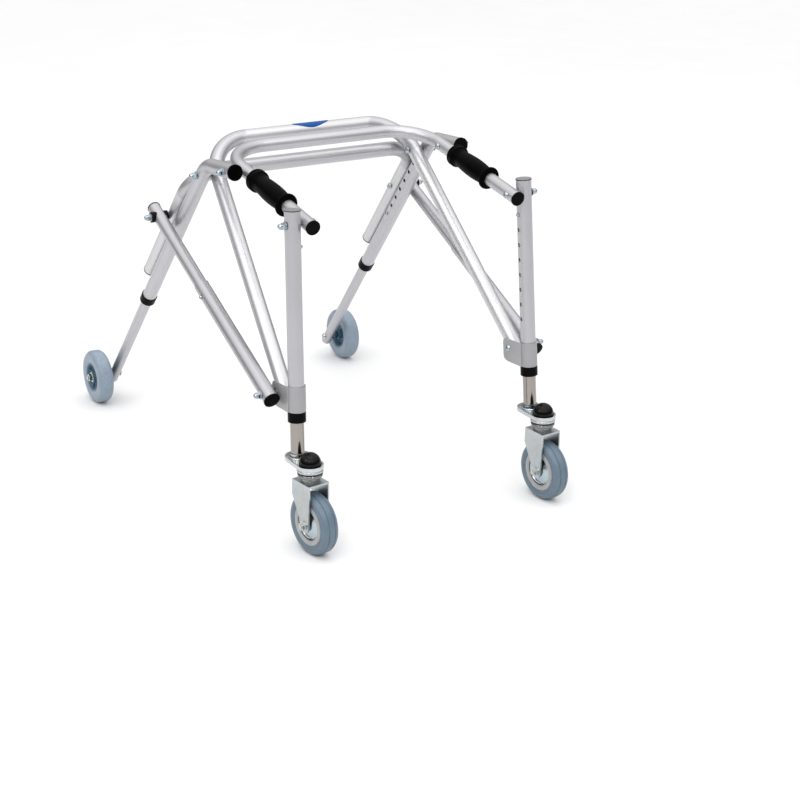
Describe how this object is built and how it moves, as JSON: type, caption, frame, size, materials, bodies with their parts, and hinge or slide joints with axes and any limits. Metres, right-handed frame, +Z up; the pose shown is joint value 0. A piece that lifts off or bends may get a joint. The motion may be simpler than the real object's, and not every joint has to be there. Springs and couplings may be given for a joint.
{
  "type": "walking frame",
  "caption": "Folding posterior walking frame of silver tubes with black hand grips, swivelling front castors, fixed rear wheels and height-adjustable legs.",
  "frame": {"origin": "on the floor under the middle of the outline", "axes": "+Z up, +Y towards the closed back, +X to the right when looking from the open front"},
  "size_m": [0.5836, 0.8969, 0.5858],
  "materials": {
    "silver_tube": "satin silver",
    "bracket_grey": "satin grey",
    "zinc_steel": "bright zinc plate",
    "bright_steel": "polished plate",
    "black_plastic": "glossy black",
    "grip_black": "smooth black",
    "cap_grey": "satin grey",
    "tyre_blue": "soft blue-grey",
    "rim_grey": "satin warm grey",
    "hub_teal": "satin dark teal",
    "badge_blue": "glossy blue"
  },
  "bodies": {
    "upper_frame": {"upper_hoop": "silver_tube", "blank_badge": "badge_blue", "hinge_bolts": "zinc_steel"},
    "handle_frame": {"handle_hoop": "silver_tube", "left_hand_grip": "grip_black", "right_hand_grip": "grip_black", "handle_end_caps": "black_plastic", "handle_bolt_heads": "zinc_steel"},
    "rear_frame": {"left_rear_leg": "silver_tube", "right_rear_leg": "silver_tube", "rear_leg_caps": "black_plastic", "rear_hoop": "silver_tube", "rear_hoop_caps": "cap_grey", "rear_leg_collars": "black_plastic", "rear_frame_bolts": "zinc_steel"},
    "front_posts": {"left_front_post": "silver_tube", "right_front_post": "silver_tube", "left_post_bracket": "bracket_grey", "right_post_bracket": "bracket_grey", "post_caps": "cap_grey", "post_collars": "black_plastic", "post_bolts": "zinc_steel"},
    "brace_outer_tubes": {"brace_outers": "silver_tube", "brace_lower_caps": "black_plastic"},
    "brace_inner_tubes": {"brace_inners": "silver_tube", "brace_upper_caps": "cap_grey", "brace_saddles": "black_plastic", "brace_bolts": "zinc_steel"},
    "left_stem_set": {"left_stem": "bright_steel", "left_offset_plate": "zinc_steel", "left_dome_cap": "black_plastic", "left_kingpin": "zinc_steel"},
    "left_stem_snap": {"left_stem_button": "zinc_steel"},
    "left_castor_swivel": {"left_swivel_bearing": "bright_steel", "left_castor_fork": "zinc_steel", "left_castor_axle": "zinc_steel"},
    "left_castor_wheel": {"left_castor_tyre": "tyre_blue", "left_castor_hub": "rim_grey"},
    "left_leg_set": {"left_lower_leg": "silver_tube", "left_rear_axle": "zinc_steel"},
    "left_leg_snap": {"left_leg_button": "zinc_steel"},
    "left_rear_wheel": {"left_rear_tyre": "tyre_blue", "left_rear_hub": "hub_teal"},
    "left_brace_snap": {"left_brace_button": "zinc_steel"},
    "right_stem_set": {"right_stem": "bright_steel", "right_offset_plate": "zinc_steel", "right_dome_cap": "black_plastic", "right_kingpin": "zinc_steel"},
    "right_stem_snap": {"right_stem_button": "zinc_steel"},
    "right_castor_swivel": {"right_swivel_bearing": "bright_steel", "right_castor_fork": "zinc_steel", "right_castor_axle": "zinc_steel"},
    "right_castor_wheel": {"right_castor_tyre": "tyre_blue", "right_castor_hub": "rim_grey"},
    "right_leg_set": {"right_lower_leg": "silver_tube", "right_rear_axle": "zinc_steel"},
    "right_leg_snap": {"right_leg_button": "zinc_steel"},
    "right_rear_wheel": {"right_rear_tyre": "tyre_blue", "right_rear_hub": "hub_teal"},
    "right_brace_snap": {"right_brace_button": "zinc_steel"}
  },
  "joints": [
    {"name": "rear_fold", "type": "hinge", "parent": "upper_frame", "child": "rear_frame", "pos_m": [0, -0.0044, 0.528], "axis": [-1, 0, 0], "range_deg": [0, 60]},
    {"name": "handle_fold", "type": "hinge", "parent": "rear_frame", "child": "handle_frame", "pos_m": [0, -0.1035, 0.5546], "axis": [1, 0, 0], "range_deg": [0, 85.5]},
    {"name": "post_fold", "type": "hinge", "parent": "upper_frame", "child": "front_posts", "pos_m": [0, -0.301, 0.2433], "axis": [-1, 0, 0], "range_deg": [0, 23.5]},
    {"name": "brace_swing", "type": "hinge", "parent": "upper_frame", "child": "brace_outer_tubes", "pos_m": [0, -0.301, 0.2433], "axis": [1, 0, 0], "range_deg": [0, 2.4]},
    {"name": "brace_slide", "type": "slide", "parent": "brace_outer_tubes", "child": "brace_inner_tubes", "axis": [0, -0.9061, -0.4231], "range_m": [0, 0.146], "deforming": ["left_brace_button", "right_brace_button"]},
    {"name": "left_stem_height", "type": "slide", "parent": "front_posts", "child": "left_stem_set", "axis": [-0.0261, -0.0774, -0.9967], "range_m": [0, 0.1778], "deforming": ["left_stem_button"]},
    {"name": "left_stem_button_press", "type": "slide", "parent": "left_stem_set", "child": "left_stem_snap", "axis": [-1, 0, 0], "range_m": [0, 0.0053], "stiffness_N_per_m": 500},
    {"name": "left_castor_turn", "type": "hinge", "parent": "left_stem_set", "child": "left_castor_swivel", "pos_m": [-0.222, -0.386, 0.13], "axis": [0, 0, 1], "continuous": true},
    {"name": "left_castor_roll", "type": "hinge", "parent": "left_castor_swivel", "child": "left_castor_wheel", "pos_m": [-0.22078, -0.39593, 0.051], "axis": [0.9925, 0.1219, 0], "continuous": true},
    {"name": "left_leg_height", "type": "slide", "parent": "rear_frame", "child": "left_leg_set", "axis": [-0.0275, 0.6445, -0.7641], "range_m": [-0.1524, 0]},
    {"name": "left_leg_button_press", "type": "slide", "parent": "left_leg_set", "child": "left_leg_snap", "axis": [-1, 0, 0], "range_m": [0, 0.0053], "stiffness_N_per_m": 500},
    {"name": "left_rear_wheel_roll", "type": "hinge", "parent": "left_leg_set", "child": "left_rear_wheel", "pos_m": [-0.2694, 0.3982, 0.051], "axis": [1, 0, 0], "continuous": true},
    {"name": "left_brace_button_press", "type": "slide", "parent": "brace_inner_tubes", "child": "left_brace_snap", "axis": [1, 0, 0], "range_m": [0, 0.0053]},
    {"name": "right_stem_height", "type": "slide", "parent": "front_posts", "child": "right_stem_set", "axis": [0.0261, -0.0774, -0.9967], "range_m": [0, 0.1778], "deforming": ["right_stem_button"]},
    {"name": "right_stem_button_press", "type": "slide", "parent": "right_stem_set", "child": "right_stem_snap", "axis": [1, 0, 0], "range_m": [0, 0.0053], "stiffness_N_per_m": 500},
    {"name": "right_castor_turn", "type": "hinge", "parent": "right_stem_set", "child": "right_castor_swivel", "pos_m": [0.222, -0.386, 0.13], "axis": [0, 0, 1], "continuous": true},
    {"name": "right_castor_roll", "type": "hinge", "parent": "right_castor_swivel", "child": "right_castor_wheel", "pos_m": [0.2227, -0.39598, 0.051], "axis": [0.9976, 0.0698, 0], "continuous": true},
    {"name": "right_leg_height", "type": "slide", "parent": "rear_frame", "child": "right_leg_set", "axis": [0.0275, 0.6445, -0.7641], "range_m": [-0.1524, 0]},
    {"name": "right_leg_button_press", "type": "slide", "parent": "right_leg_set", "child": "right_leg_snap", "axis": [1, 0, 0], "range_m": [0, 0.0053], "stiffness_N_per_m": 500},
    {"name": "right_rear_wheel_roll", "type": "hinge", "parent": "right_leg_set", "child": "right_rear_wheel", "pos_m": [0.2694, 0.3982, 0.051], "axis": [1, 0, 0], "continuous": true},
    {"name": "right_brace_button_press", "type": "slide", "parent": "brace_inner_tubes", "child": "right_brace_snap", "axis": [-1, 0, 0], "range_m": [0, 0.0053]}
  ],
  "couplings": [
    {"joint": "handle_fold", "follows": "rear_fold", "ratio": 1.4221},
    {"joint": "post_fold", "follows": "rear_fold", "ratio": 0.38853},
    {"joint": "brace_swing", "follows": "rear_fold", "ratio": 0.037158},
    {"joint": "brace_slide", "follows": "rear_fold", "m_per_rad": 0.1393},
    {"joint": "left_brace_button_press", "follows": "rear_fold", "m_per_rad": 0.005051},
    {"joint": "right_brace_button_press", "follows": "rear_fold", "m_per_rad": 0.005051}
  ]
}
